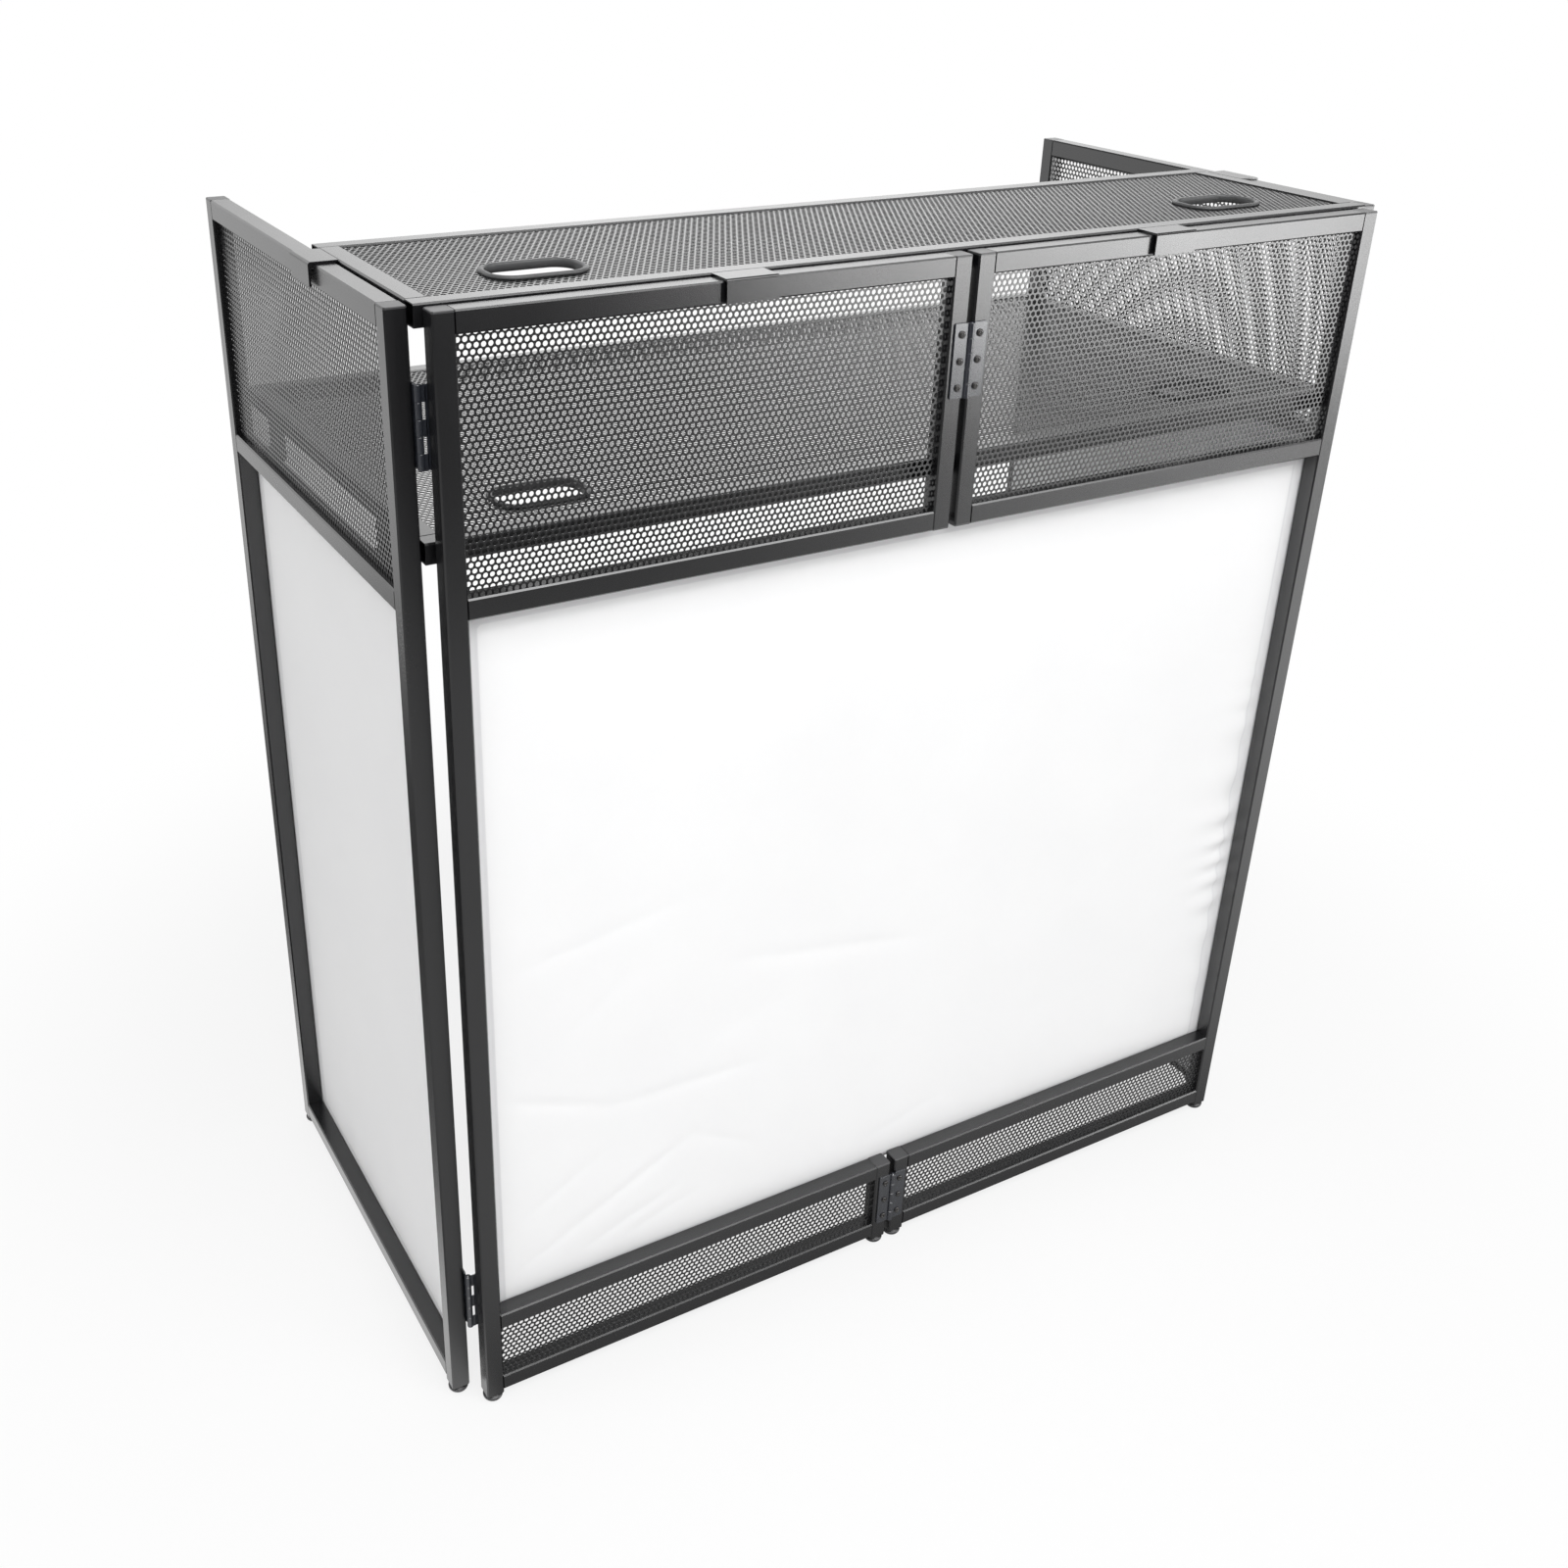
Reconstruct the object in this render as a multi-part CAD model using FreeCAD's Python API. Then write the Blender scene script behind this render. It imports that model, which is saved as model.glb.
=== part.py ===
import FreeCAD, Part
import math
import os

# Folding DJ booth: two front halves, two side wings, two lift-off shelves and stretched scrims.
# Millimetres. X runs along the front, Y from the front to the rear, Z up from the floor.
# The sizes below are written from the plane of the front face; the whole booth is then moved
# along Y so that the origin lies on the floor under the middle of its bounding box.

# Square tube
TUBE = 20.0
WALL = 1.2
CORNER_EASE = 1.5

# Front panel
FRONT_WIDTH = 1062.0
HEIGHT = 1200.0
CENTRE_GAP = 7.0
UPPER_MESH_HEIGHT = 226.0
LOWER_MESH_HEIGHT = 70.0
BOTTOM_RAIL_Z = 14.0

# Side wings
CORNER_GAP_X = 9.0
CORNER_GAP_Y = 9.0
WING_DEPTH = 528.0

# Perforated sheets
SHEET = 1.2
SHEET_SETBACK = 6.0
DECK_RECESS = 1.2
DECK_COLUMNS = 8
DECK_OPENING = 0.72
DECK_LAND = 10.0

# Scrims
SCRIM = 1.0
SCRIM_LAP = 7.0

# End caps and feet
CAP_FLANGE = 2.0
CAP_EDGE = 0.6
CAP_PLUG = 12.0
PLUG_FIT = 0.2
FOOT_HEIGHT = 10.0
FOOT_DIAMETER = 22.0
FOOT_BEVEL = 4.0
FOOT_PLUG = 12.0

# Butt hinges
HINGE_HEIGHT = 72.0
LEAF = 1.8
BARREL_DIAMETER = 6.4
PIN_DIAMETER = 3.0
PIN_FIT = 0.05
KNUCKLES = 5
KNUCKLE_FLATS = 12
KNUCKLE_GAP = 0.3
CENTRE_LEAF_LENGTH = 21.0
CORNER_LEAF_LAP = 12.0
CENTRE_HINGE_FROM_TOP = 98.4
CENTRE_HINGE_FROM_FLOOR = 70.0
CORNER_HINGE_FROM_TOP = 98.0
CORNER_HINGE_FROM_FLOOR = 139.0

# Shelves
SHELF_SIDE_GAP = 2.5
SHELF_FRONT_GAP = 6.0
TOP_SHELF_FRONT_GAP = 3.0
TOP_SHELF_DEPTH = 255.0
LOWER_SHELF_RISE = 26.0
SEAT_GAP = 0.2

# Hooks of the top shelf
HOOK = 2.0
HOOK_WIDTH = 52.0
HOOK_BEND = 1.0
HOOK_PLAY = 3.0
HOOK_DROP = 19.0
FRONT_HOOK_X = 241.5
SIDE_HOOK_FROM_SHELF_FRONT = 203.5

# Brackets of the lower shelf
BRACKET = 2.0
BRACKET_WIDTH = 50.0
BRACKET_BEND = 1.0
BRACKET_LAP = 14.2
BRACKET_REACH = 8.5
FRONT_BRACKET_FROM_WING = 91.0
REAR_BRACKET_FROM_WING = 421.0

# Cable grommets
GROMMET_OPENING_LENGTH = 84.0
GROMMET_OPENING_WIDTH = 49.0
GROMMET_CORNER_RADIUS = 19.0
GROMMET_RIM_WIDTH = 6.0
GROMMET_RIM = 3.0
GROMMET_RIM_EDGE = 1.5
GROMMET_WALL = 1.5
GROMMET_SLEEVE = 5.0
GROMMET_FIT = 0.5
GROMMET_FROM_SHELF_END = 139.5
GROMMET_FROM_SHELF_FRONT = 76.0

# Places worked out from the sizes above
half_width = FRONT_WIDTH / 2
inner_edge = CENTRE_GAP / 2
rail_in = inner_edge + TUBE
rail_out = half_width - TUBE
top_rail_z = HEIGHT - TUBE
mid_rail_top = top_rail_z - UPPER_MESH_HEIGHT
mid_rail_z = mid_rail_top - TUBE
bottom_rail_top = BOTTOM_RAIL_Z + TUBE
lower_rail_z = bottom_rail_top + LOWER_MESH_HEIGHT
lower_rail_top = lower_rail_z + TUBE
wing_in = half_width + CORNER_GAP_X
wing_out = wing_in + TUBE
wing_front = TUBE + CORNER_GAP_Y
wing_rear = wing_front + WING_DEPTH
shelf_half = wing_in - SHELF_SIDE_GAP
shelf_front = TUBE + SHELF_FRONT_GAP
top_shelf_front = TUBE + TOP_SHELF_FRONT_GAP
top_shelf_z = HEIGHT + SEAT_GAP + HOOK - TUBE
lower_shelf_z = mid_rail_top + LOWER_SHELF_RISE
grommet_x = shelf_half - GROMMET_FROM_SHELF_END
grommet_y = shelf_front + GROMMET_FROM_SHELF_FRONT
barrel_radius = BARREL_DIAMETER / 2
hook_face_y = -HOOK_PLAY - HOOK
barrel_face_y = -LEAF - barrel_radius
rear_face_y = max(wing_rear, wing_rear + (FOOT_DIAMETER - TUBE) / 2)
middle_y = (min(hook_face_y, barrel_face_y) + rear_face_y) / 2

nodes = {}


def vector(x, y, z):
    return FreeCAD.Vector(x, y, z)


def add(name, *solids):
    nodes.setdefault(name, []).extend(solids)


def box(low, high):
    return Part.makeBox(high[0] - low[0], high[1] - low[1], high[2] - low[2], vector(*low))


def outline(points, z=0.0):
    """Closed level outline through the points."""
    return Part.makePolygon([vector(a, b, z) for a, b in points + points[:1]])


def square_outline(low, high, ease=0.0):
    """Square outline, with each corner cut across where it is eased."""
    if ease <= 0:
        return outline([(low, low), (high, low), (high, high), (low, high)])
    near = low + ease
    far = high - ease
    return outline([
        (near, low), (far, low), (high, near), (high, far),
        (far, high), (near, high), (low, far), (low, near),
    ])


def tube(axis, length, low):
    """Hollow square tube along x, y or z with its lowest corner at low."""
    along = vector(0, 0, length)
    body = Part.Face(square_outline(0, TUBE, CORNER_EASE)).extrude(along)
    bore = Part.Face(square_outline(WALL, TUBE - WALL)).extrude(along)
    shape = body.cut(bore)
    turns = {"z": 0, "x": 120, "y": 240}
    turn = FreeCAD.Rotation(vector(1, 1, 1), turns[axis])
    shape.Placement = FreeCAD.Placement(vector(*low), turn)
    return shape


def rail_x(x_a, x_b, y, z):
    return tube("x", abs(x_b - x_a), (min(x_a, x_b), y, z))


def tube_plug(length):
    """Square plug that slides into a tube end, with its top at the height of 0."""
    inset = WALL + PLUG_FIT
    return box((inset, inset, -length), (TUBE - inset, TUBE - inset, 0))


def end_cap(x, y, z, up):
    """Flush cap on a tube end at height z: a flange with an eased rim and a plug inside the tube."""
    flange = Part.Face(square_outline(0, TUBE, CORNER_EASE)).extrude(vector(0, 0, CAP_FLANGE))
    rim = [edge for edge in flange.Edges if edge.BoundBox.ZMin > CAP_FLANGE / 2]
    flange = flange.makeChamfer(CAP_EDGE, rim)
    cap = flange.fuse(tube_plug(CAP_PLUG))
    if not up:
        cap.rotate(vector(TUBE / 2, TUBE / 2, 0), vector(1, 0, 0), 180)
    cap.translate(vector(x, y, z))
    return cap


def revolved(points):
    """Solid of revolution about Z from a closed outline of (radius, z) points."""
    profile = Part.makePolygon([vector(radius, 0, z) for radius, z in points + points[:1]])
    return Part.Face(profile).revolve(vector(0, 0, 0), vector(0, 0, 1), 360)


def foot(x, y):
    """Bevelled plastic glide with a square plug, under the tube whose low corner is at x, y."""
    radius = FOOT_DIAMETER / 2
    tread = radius - FOOT_BEVEL
    glide = revolved([(0, 0), (tread, 0), (radius, FOOT_BEVEL), (radius, FOOT_HEIGHT), (0, FOOT_HEIGHT)])
    glide.translate(vector(TUBE / 2, TUBE / 2, 0))
    plug = tube_plug(FOOT_PLUG)
    plug.translate(vector(0, 0, FOOT_HEIGHT + FOOT_PLUG))
    glide = glide.fuse(plug)
    glide.translate(vector(x, y, 0))
    return glide


class Hinge:
    """One butt hinge on a vertical axis. Each leaf runs out along u and is LEAF thick along w."""

    def __init__(self, x, y, z, leaf_length):
        self.x = x
        self.y = y
        self.low = z - HINGE_HEIGHT / 2
        self.leaf_length = leaf_length

    def slab(self, u, w, reaches, z, height):
        """Plate beside the axis, from one reach to the other along u and LEAF thick along w."""
        across = [self.x + u[0] * reach + w[0] * depth for reach in reaches for depth in (0, LEAF)]
        deep = [self.y + u[1] * reach + w[1] * depth for reach in reaches for depth in (0, LEAF)]
        return box((min(across), min(deep), z), (max(across), max(deep), z + height))

    def prism(self, radius, z, height):
        """Many-sided prism round the axis, inside a circle of the radius."""
        turn = 2 * math.pi / KNUCKLE_FLATS
        ring = []
        for step in range(KNUCKLE_FLATS):
            angle = (step + 0.5) * turn
            ring.append((self.x + radius * math.cos(angle), self.y + radius * math.sin(angle)))
        return Part.Face(outline(ring, z)).extrude(vector(0, 0, height))

    def leaf(self, u, w, first_knuckle):
        """Leaf plate with every second knuckle, bored for the pin."""
        pitch = (HINGE_HEIGHT + KNUCKLE_GAP) / KNUCKLES
        length = pitch - KNUCKLE_GAP
        bore_radius = PIN_DIAMETER / 2 + PIN_FIT
        start = barrel_radius + KNUCKLE_GAP
        root = (bore_radius + barrel_radius) / 2
        leaf = self.slab(u, w, (start, self.leaf_length), self.low, HINGE_HEIGHT)
        for index in range(first_knuckle, KNUCKLES, 2):
            z = self.low + index * pitch
            rolled = self.prism(barrel_radius, z, length)
            leaf = leaf.fuse([rolled, self.slab(u, w, (root, start), z, length)])
        bore = self.prism(bore_radius / math.cos(math.pi / KNUCKLE_FLATS), self.low, HINGE_HEIGHT)
        return leaf.cut(bore).removeSplitter()

    def pin(self):
        """Pin through all the knuckles."""
        return Part.makeCylinder(PIN_DIAMETER / 2, HINGE_HEIGHT, vector(self.x, self.y, self.low))


def bent_plate(corner_list, place, width_vector):
    """Extrude an outline of straight runs and arcs. An arc is three points, a straight run two."""
    edges = []
    for run in corner_list:
        points = [place(*pair) for pair in run]
        if len(points) == 2:
            edges.append(Part.makeLine(points[0], points[1]))
        else:
            edges.append(Part.Arc(points[0], points[1], points[2]).toShape())
    return Part.Face(Part.Wire(edges)).extrude(width_vector)


def hook(place, width_vector, reach):
    """Bent hook: a flat tongue over the rail and a lip down its far side. Runs are (out, z)."""
    top = top_shelf_z + TUBE
    under = top - HOOK
    lip = HEIGHT - HOOK_DROP
    inside = reach - HOOK
    outer = HOOK_BEND + HOOK
    root = 0.5 ** 0.5
    centre_out = inside - HOOK_BEND
    centre_z = under - HOOK_BEND
    outer_middle = (centre_out + outer * root, centre_z + outer * root)
    inner_middle = (centre_out + HOOK_BEND * root, centre_z + HOOK_BEND * root)
    runs = [
        [(0, top), (centre_out, top)],
        [(centre_out, top), outer_middle, (reach, centre_z)],
        [(reach, centre_z), (reach, lip)],
        [(reach, lip), (inside, lip)],
        [(inside, lip), (inside, centre_z)],
        [(inside, centre_z), inner_middle, (centre_out, under)],
        [(centre_out, under), (0, under)],
        [(0, under), (0, top)],
    ]
    return bent_plate(runs, place, width_vector)


def bracket(place, width_vector):
    """Angle bracket: an upright on the shelf's side rail and a foot out over the wing's mid rail."""
    low = mid_rail_top + SEAT_GAP
    high = lower_shelf_z + BRACKET_LAP
    outer = BRACKET_BEND + BRACKET
    root = 0.5 ** 0.5
    centre = (outer, low + outer)
    runs = [
        [(0, high), (BRACKET, high)],
        [(BRACKET, high), (BRACKET, low + outer)],
        [
            (BRACKET, low + outer),
            (centre[0] - BRACKET_BEND * root, centre[1] - BRACKET_BEND * root),
            (outer, low + BRACKET),
        ],
        [(outer, low + BRACKET), (BRACKET_REACH, low + BRACKET)],
        [(BRACKET_REACH, low + BRACKET), (BRACKET_REACH, low)],
        [(BRACKET_REACH, low), (outer, low)],
        [(outer, low), (centre[0] - outer * root, centre[1] - outer * root), (0, low + outer)],
        [(0, low + outer), (0, high)],
    ]
    return bent_plate(runs, place, width_vector)


def slot(x, z, grow, height):
    """Upright prism with the outline of the grommet's opening, grown on all sides."""
    length = GROMMET_OPENING_LENGTH + 2 * grow
    width = GROMMET_OPENING_WIDTH + 2 * grow
    block = Part.makeBox(length, width, height, vector(x - length / 2, grommet_y - width / 2, z))
    upright = [edge for edge in block.Edges if edge.BoundBox.ZLength > height / 2]
    return block.makeFillet(GROMMET_CORNER_RADIUS + grow, upright)


def grommet(x, deck_top):
    """Cable grommet: a rim with eased edges on the deck and a sleeve down through it."""
    low = deck_top - GROMMET_SLEEVE
    rim = slot(x, deck_top, GROMMET_RIM_WIDTH, GROMMET_RIM)
    sleeve = slot(x, low, GROMMET_WALL, GROMMET_SLEEVE)
    opening = slot(x, low, 0, GROMMET_SLEEVE + GROMMET_RIM)
    ring = rim.fuse(sleeve).cut(opening)
    brow = [edge for edge in ring.Edges if edge.BoundBox.ZMin > deck_top + GROMMET_RIM / 2]
    return ring.makeChamfer(GROMMET_RIM_EDGE, brow)


# Hinges: two on the centre line in front, two behind each corner
centre_hinges = []
for height in (HEIGHT - CENTRE_HINGE_FROM_TOP, CENTRE_HINGE_FROM_FLOOR):
    centre_hinges.append(Hinge(0, -LEAF, height, CENTRE_LEAF_LENGTH))

corner_axis_x = wing_in - LEAF
corner_axis_y = TUBE + LEAF
front_reach = corner_axis_x - half_width
wing_reach = wing_front - corner_axis_y


def corner_hinges(side, reach):
    made = []
    for z in (HEIGHT - CORNER_HINGE_FROM_TOP, CORNER_HINGE_FROM_FLOOR):
        made.append(Hinge(side * corner_axis_x, corner_axis_y, z, reach + CORNER_LEAF_LAP))
    return made


# Front halves
for side, name in ((-1, "front_left"), (1, "front_right")):
    post_x = min(side * rail_out, side * half_width)
    inner_x = min(side * inner_edge, side * rail_in)
    post_top = HEIGHT - CAP_FLANGE

    add(name + "_outer_post", tube("z", post_top - FOOT_HEIGHT, (post_x, 0, FOOT_HEIGHT)))
    upper_low = mid_rail_z + CAP_FLANGE
    lower_top = lower_rail_top - CAP_FLANGE
    add(name + "_inner_posts", tube("z", post_top - upper_low, (inner_x, 0, upper_low)))
    add(name + "_inner_posts", tube("z", lower_top - FOOT_HEIGHT, (inner_x, 0, FOOT_HEIGHT)))

    span = (side * rail_in, side * rail_out)
    sheet_rear = SHEET_SETBACK + SHEET
    add(name + "_top_rail", rail_x(*span, 0, top_rail_z))
    add(name + "_mid_rail", rail_x(*span, 0, mid_rail_z))
    add(name + "_lower_rail", rail_x(*span, 0, lower_rail_z))
    add(name + "_bottom_rail", rail_x(*span, 0, BOTTOM_RAIL_Z))

    for part_name, z_low, z_high in (
        ("_upper_mesh", mid_rail_top, top_rail_z),
        ("_lower_mesh", bottom_rail_top, lower_rail_z),
    ):
        add(name + part_name, box((min(span), SHEET_SETBACK, z_low), (max(span), sheet_rear, z_high)))

    add(name + "_caps", end_cap(post_x, 0, post_top, True))
    add(name + "_caps", end_cap(inner_x, 0, post_top, True))
    add(name + "_caps", end_cap(inner_x, 0, upper_low, False))
    add(name + "_caps", end_cap(inner_x, 0, lower_top, True))
    add(name + "_feet", foot(post_x, 0), foot(inner_x, 0))

# Front scrim: one sheet behind both halves
scrim_x = rail_out + SCRIM_LAP
scrim_low = lower_rail_top - SCRIM_LAP
scrim_high = mid_rail_z + SCRIM_LAP
add("front_scrim", box((-scrim_x, TUBE, scrim_low), (scrim_x, TUBE + SCRIM, scrim_high)))

# Centre hinges
for hinge in centre_hinges:
    add("centre_hinge_left_leaves", hinge.leaf((-1, 0), (0, 1), 0))
    add("centre_hinge_right_leaves", hinge.leaf((1, 0), (0, 1), 1))
    add("centre_hinge_pins", hinge.pin())

# Side wings and their corner hinges
for side, name in ((-1, "left"), (1, "right")):
    wing = name + "_wing"
    x_low = min(side * wing_in, side * wing_out)
    rear_y = wing_rear - TUBE
    post_length = HEIGHT - CAP_FLANGE - FOOT_HEIGHT
    add(wing + "_front_post", tube("z", post_length, (x_low, wing_front, FOOT_HEIGHT)))
    add(wing + "_rear_post", tube("z", post_length, (x_low, rear_y, FOOT_HEIGHT)))

    rail_y = wing_front + TUBE
    rail_length = rear_y - rail_y
    add(wing + "_top_rail", tube("y", rail_length, (x_low, rail_y, top_rail_z)))
    add(wing + "_mid_rail", tube("y", rail_length, (x_low, rail_y, mid_rail_z)))
    add(wing + "_bottom_rail", tube("y", rail_length, (x_low, rail_y, BOTTOM_RAIL_Z)))

    mesh_out = wing_out - SHEET_SETBACK
    mesh_low, mesh_high = sorted((side * mesh_out, side * (mesh_out - SHEET)))
    add(wing + "_mesh", box((mesh_low, rail_y, mid_rail_top), (mesh_high, rear_y, top_rail_z)))

    lap_low = bottom_rail_top - SCRIM_LAP
    scrim_face = sorted((side * (wing_in - SCRIM), side * wing_in))
    scrim_from = (scrim_face[0], rail_y - SCRIM_LAP, lap_low)
    add(wing + "_scrim", box(scrim_from, (scrim_face[1], rear_y + SCRIM_LAP, scrim_high)))

    for y in (wing_front, rear_y):
        add(wing + "_caps", end_cap(x_low, y, HEIGHT - CAP_FLANGE, True))
        add(wing + "_feet", foot(x_low, y))

    for hinge in corner_hinges(side, front_reach):
        add(name + "_corner_front_leaves", hinge.leaf((-side, 0), (0, -1), 0))
        add(name + "_corner_pins", hinge.pin())
    for hinge in corner_hinges(side, wing_reach):
        add(name + "_corner_wing_leaves", hinge.leaf((0, 1), (side, 0), 1))


def deck_sheet(y_front, y_rear, deck_top):
    """Sheet with a plain grid of openings, which stands for its many small holes. Each opening takes
    the same share of its cell, and a land round each grommet stays whole."""
    half = shelf_half - TUBE
    low = deck_top - SHEET
    cell_x = 2 * half / DECK_COLUMNS
    rows = max(1, round((y_rear - y_front) / cell_x))
    cell_y = (y_rear - y_front) / rows
    open_x = cell_x * DECK_OPENING / 2
    open_y = cell_y * DECK_OPENING / 2
    land_x = GROMMET_OPENING_LENGTH / 2 + GROMMET_RIM_WIDTH + DECK_LAND
    land_y = GROMMET_OPENING_WIDTH / 2 + GROMMET_RIM_WIDTH + DECK_LAND
    cuts = []
    for x in (-grommet_x, grommet_x):
        cuts.append(slot(x, low, GROMMET_WALL + GROMMET_FIT, SHEET))
    for column in range(DECK_COLUMNS):
        x = (column + 0.5) * cell_x - half
        for row in range(rows):
            y = y_front + (row + 0.5) * cell_y
            beside = abs(abs(x) - grommet_x) > open_x + land_x
            if beside or abs(y - grommet_y) > open_y + land_y:
                cuts.append(box((x - open_x, y - open_y, low), (x + open_x, y + open_y, deck_top)))
    return box((-half, y_front, low), (half, y_rear, deck_top)).cut(Part.makeCompound(cuts))


def shelf(name, z, y_front, y_rear):
    """Rectangle of tube with a recessed deck and two grommets. The side rails run between."""
    rear_y = y_rear - TUBE
    add(name + "_frame", rail_x(-shelf_half, shelf_half, y_front, z))
    add(name + "_frame", rail_x(-shelf_half, shelf_half, rear_y, z))
    side_y = y_front + TUBE
    for x in (-shelf_half, shelf_half - TUBE):
        add(name + "_frame", tube("y", rear_y - side_y, (x, side_y, z)))
    deck_top = z + TUBE - DECK_RECESS
    add(name + "_deck", deck_sheet(side_y, rear_y, deck_top))
    add(name + "_grommets", grommet(-grommet_x, deck_top), grommet(grommet_x, deck_top))


# Top shelf, hooked over the front and wing rails
shelf("top_shelf", top_shelf_z, top_shelf_front, top_shelf_front + TOP_SHELF_DEPTH)
front_hook_reach = top_shelf_front + HOOK_PLAY + HOOK
side_hook_reach = wing_out - shelf_half + HOOK_PLAY + HOOK
for side in (-1, 1):
    start_x = side * FRONT_HOOK_X - HOOK_WIDTH / 2
    front_place = lambda out, z, x=start_x: vector(x, top_shelf_front - out, z)
    add("top_shelf_hooks", hook(front_place, vector(HOOK_WIDTH, 0, 0), front_hook_reach))
    start_y = shelf_front + SIDE_HOOK_FROM_SHELF_FRONT - HOOK_WIDTH / 2
    side_place = lambda out, z, s=side: vector(s * (shelf_half + out), start_y, z)
    add("top_shelf_hooks", hook(side_place, vector(0, HOOK_WIDTH, 0), side_hook_reach))

# Lower shelf, on angle brackets over the wing mid rails
shelf("lower_shelf", lower_shelf_z, shelf_front, wing_rear)
for side in (-1, 1):
    for from_wing in (FRONT_BRACKET_FROM_WING, REAR_BRACKET_FROM_WING):
        start_y = wing_front + from_wing - BRACKET_WIDTH / 2
        foot_place = lambda out, z, s=side, y=start_y: vector(s * (shelf_half + out), y, z)
        add("lower_shelf_brackets", bracket(foot_place, vector(0, BRACKET_WIDTH, 0)))

os.makedirs("parts", exist_ok=True)
for name, solids in nodes.items():
    shape = solids[0] if len(solids) == 1 else Part.makeCompound(solids)
    shape.translate(vector(0, -middle_y, 0))
    shape.exportStep("parts/" + name + ".step")
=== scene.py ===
import bpy
import numpy as np
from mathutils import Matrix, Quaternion, Vector

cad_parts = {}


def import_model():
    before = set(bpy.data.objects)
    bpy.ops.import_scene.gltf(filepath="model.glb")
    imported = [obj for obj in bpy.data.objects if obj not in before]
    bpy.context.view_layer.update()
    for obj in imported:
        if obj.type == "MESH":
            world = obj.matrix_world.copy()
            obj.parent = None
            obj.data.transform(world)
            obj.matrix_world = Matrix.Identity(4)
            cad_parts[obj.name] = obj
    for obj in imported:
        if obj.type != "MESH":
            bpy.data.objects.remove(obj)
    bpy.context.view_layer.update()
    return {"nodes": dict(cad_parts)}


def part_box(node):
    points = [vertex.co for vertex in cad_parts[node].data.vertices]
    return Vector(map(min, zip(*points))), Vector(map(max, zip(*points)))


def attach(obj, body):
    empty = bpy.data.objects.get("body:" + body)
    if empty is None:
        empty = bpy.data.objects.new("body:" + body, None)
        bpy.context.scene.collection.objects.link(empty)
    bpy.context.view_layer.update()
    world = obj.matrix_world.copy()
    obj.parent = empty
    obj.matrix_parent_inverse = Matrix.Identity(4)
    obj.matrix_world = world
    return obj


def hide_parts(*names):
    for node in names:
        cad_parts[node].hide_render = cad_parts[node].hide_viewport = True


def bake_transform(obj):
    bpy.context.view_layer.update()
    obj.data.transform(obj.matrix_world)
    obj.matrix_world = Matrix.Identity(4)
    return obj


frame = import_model()


# Welded frames: the four panels and the two shelves are 20 mm square steel tube, welded and ground
# flush. A satin black powder coat covers the tube and the bent plates that are welded to it.

GRAIN_STRENGTH = 0.35
GRAIN_SHARE = 0.4
CLOUD_DETAIL = 3.0
GRAIN_DETAIL = 2.0


class Shade:
    """A socket of a node tree. Arithmetic on it adds Math nodes, and node() adds any other node."""

    def __init__(self, tree, socket=None):
        self.tree = tree
        self.socket = socket

    def node(self, kind, settings, sockets, out=0):
        """Adds a node, makes its settings, then gives each socket its value or its link."""
        made = self.tree.nodes.new("ShaderNode" + kind)
        for name, value in settings.items():
            setattr(made, name, value)
        for key, value in sockets.items():
            socket = made.inputs[key]
            if isinstance(value, Shade):
                self.tree.links.new(value.socket, socket)
            else:
                socket.default_value = value
        return Shade(self.tree, made.outputs[out] if made.outputs else None)

    def maths(self, operation, first, second):
        return self.node("Math", {"operation": operation}, {0: first, 1: second})

    def __add__(self, other):
        return self.maths("ADD", self, other)

    def __radd__(self, other):
        return self.maths("ADD", other, self)

    def __rsub__(self, other):
        return self.maths("SUBTRACT", other, self)

    def __mul__(self, other):
        return self.maths("MULTIPLY", self, other)

    def __rmul__(self, other):
        return self.maths("MULTIPLY", other, self)

    def blend(self, dark, light):
        """Colour between dark and light, by this socket's value."""
        sockets = {0: self, 6: dark, 7: light}
        return self.node("Mix", {"data_type": "RGBA"}, sockets, out=2)

    def ramp(self, start, end, low=0.0, high=1.0):
        """Smooth step of this value: low up to the start, high from the end on."""
        sockets = {0: self, 1: start, 2: end, 3: low, 4: high}
        return self.node("MapRange", {"interpolation_type": "SMOOTHSTEP"}, sockets)

    def noise(self, scale, detail):
        """Noise in object space, with its scale counted in cells to the metre."""
        place = self.node("TexCoord", {}, {}, out=3)
        return self.node("TexNoise", {}, {"Vector": place, "Scale": scale, "Detail": detail})


def new_finish(name):
    """An empty node material, and the handle that its nodes are added through."""
    material = bpy.data.materials.new(name)
    material.use_nodes = True
    material.node_tree.nodes.clear()
    return material, Shade(material.node_tree)


def speckled(name, dark, light, index, gloss, uneven, grain, depth, cloud):
    """Opaque skin of a refractive index: cloudy noise moves its tone from dark to light and its roughness
    up from the gloss, and fine noise gives it a grain of some depth. Grain and cloud are in cells to
    the metre."""
    material, shade = new_finish(name)
    clouds = shade.noise(cloud, CLOUD_DETAIL)
    fine = shade.noise(grain, GRAIN_DETAIL)
    sockets = {"Height": fine, "Strength": GRAIN_STRENGTH, "Distance": depth}
    skin = shade.node("Bump", {}, sockets)
    surface = shade.node("BsdfPrincipled", {}, {
        "Base Color": clouds.blend((*dark, 1.0), (*light, 1.0)),
        "Roughness": gloss + uneven * (clouds + GRAIN_SHARE * fine),
        "IOR": index,
        "Normal": skin,
    })
    shade.node("OutputMaterial", {}, {"Surface": surface})
    return material


def paint(material, *names):
    """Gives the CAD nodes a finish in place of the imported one."""
    for name in names:
        slots = frame["nodes"][name].data.materials
        slots.clear()
        slots.append(material)


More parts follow.
